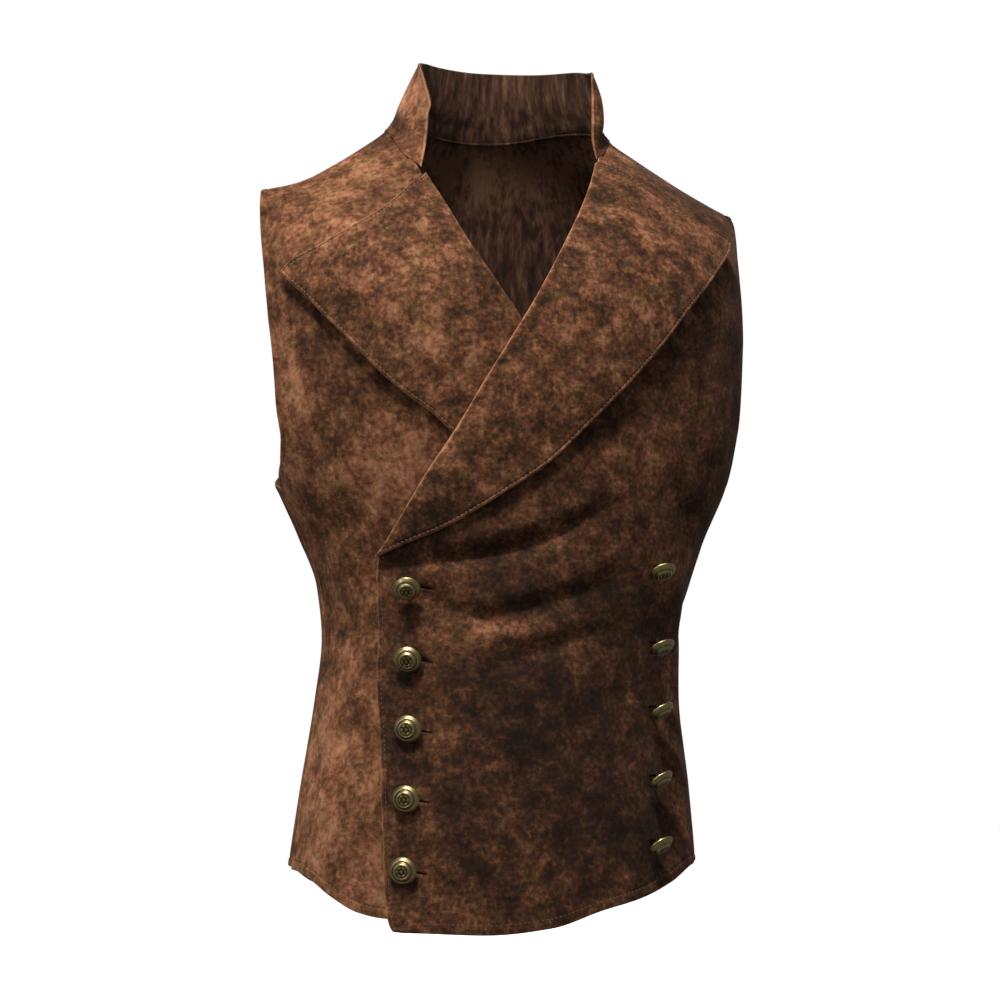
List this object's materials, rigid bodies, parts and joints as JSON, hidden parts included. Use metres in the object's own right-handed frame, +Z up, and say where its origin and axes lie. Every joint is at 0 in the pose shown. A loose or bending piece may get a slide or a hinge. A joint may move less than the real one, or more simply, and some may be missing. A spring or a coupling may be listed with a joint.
{
  "type": "suede vest",
  "caption": "Worn double-breasted suede vest with a standing collar, wide lapels, shank buttons and a curved hem, hollow with nobody in it.",
  "frame": {"origin": "middle of the shoulder line, level with the cloth's underside where the shoulders meet the neck, at mount shoulders", "axes": "+Z up along the body, -Y out of the front, +X to the wearer's left"},
  "size_m": [0.4084, 0.2492, 0.7015],
  "materials": {
    "suede": "mottled brown suede with a short brushed nap, darker and lighter in soft patches",
    "button_brass": "antiqued dull brass, dark in its recesses and rubbed bright on its edges"
  },
  "bodies": {
    "root": {"front_right": "suede", "front_left": "suede", "back": "suede", "collar": "suede", "lapel_right": "suede", "lapel_left": "suede", "button_r1": "button_brass", "button_r2": "button_brass", "button_r3": "button_brass", "button_r4": "button_brass", "button_r5": "button_brass", "button_l1": "button_brass", "button_l2": "button_brass", "button_l3": "button_brass", "button_l4": "button_brass", "button_l5": "button_brass"}
  },
  "joints": []
}
